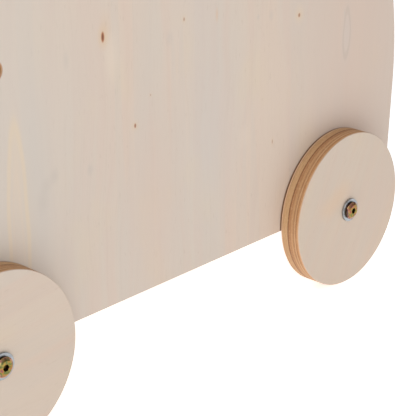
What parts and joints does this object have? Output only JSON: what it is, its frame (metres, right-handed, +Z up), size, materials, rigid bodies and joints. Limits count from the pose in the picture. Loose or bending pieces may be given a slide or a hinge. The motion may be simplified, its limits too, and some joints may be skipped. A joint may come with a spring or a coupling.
{
  "type": "toy wagon",
  "caption": "Plywood pull wagon: open cargo box with bowed side panels, bolted plywood wheels and a hinged T-grip drawbar that stows upright.",
  "frame": {"origin": "on the ground under the middle of the bounding box, with the pull handle stowed upright", "axes": "+Z up, -X is the front, where the pull handle is, and the wagon's left side faces -Y"},
  "size_m": [0.5187, 0.326, 0.6096],
  "materials": {
    "birch_plywood": "satin clear lacquer",
    "beech": "satin clear lacquer",
    "yellow_zinc": "yellow zinc plated, iridescent",
    "grey_zinc": "bright zinc plated",
    "zinc_alloy": "die-cast",
    "nylon": "natural nylon"
  },
  "bodies": {
    "chassis": {"side_panel_left": "birch_plywood", "side_panel_right": "birch_plywood", "front_panel": "birch_plywood", "rear_panel": "birch_plywood", "floor_panel": "birch_plywood", "axle_bolt_front_left": "yellow_zinc", "axle_bolt_front_right": "yellow_zinc", "axle_bolt_rear_left": "yellow_zinc", "axle_bolt_rear_right": "yellow_zinc", "outer_washers": "grey_zinc", "spacer_washers": "grey_zinc", "inner_washers": "grey_zinc", "axle_lock_nuts": "grey_zinc", "axle_nut_inserts": "nylon", "end_cam_locks": "zinc_alloy", "end_cam_pins": "grey_zinc", "floor_cam_locks": "zinc_alloy", "floor_cam_pins": "grey_zinc", "end_panel_dowels": "beech", "floor_dowels": "beech", "hitch_lug_left": "birch_plywood", "hitch_lug_right": "birch_plywood", "hitch_lug_screws": "yellow_zinc", "hitch_bolt": "yellow_zinc", "hitch_outer_washers": "grey_zinc", "hitch_thrust_washers": "nylon", "hitch_lock_nut": "grey_zinc", "hitch_nut_insert": "nylon"},
    "wheel_front_left": {"wheel_front_left": "birch_plywood"},
    "wheel_front_right": {"wheel_front_right": "birch_plywood"},
    "wheel_rear_left": {"wheel_rear_left": "birch_plywood"},
    "wheel_rear_right": {"wheel_rear_right": "birch_plywood"},
    "pull_handle": {"drawbar": "birch_plywood", "grip_dowel": "beech", "grip_screw": "yellow_zinc"}
  },
  "joints": [
    {"name": "wheel_front_left_spin", "type": "hinge", "parent": "chassis", "child": "wheel_front_left", "pos_m": [-0.16185, -0.1497, 0.061], "axis": [0, -1, 0], "continuous": true},
    {"name": "wheel_front_right_spin", "type": "hinge", "parent": "chassis", "child": "wheel_front_right", "pos_m": [-0.16185, 0.1497, 0.061], "axis": [0, -1, 0], "continuous": true},
    {"name": "wheel_rear_left_spin", "type": "hinge", "parent": "chassis", "child": "wheel_rear_left", "pos_m": [0.18315, -0.1497, 0.061], "axis": [0, -1, 0], "continuous": true},
    {"name": "wheel_rear_right_spin", "type": "hinge", "parent": "chassis", "child": "wheel_rear_right", "pos_m": [0.18315, 0.1497, 0.061], "axis": [0, -1, 0], "continuous": true},
    {"name": "handle_tilt", "type": "hinge", "parent": "chassis", "child": "pull_handle", "pos_m": [-0.23735, 0, 0.118], "axis": [0, -1, 0], "range_deg": [0, 103]}
  ]
}
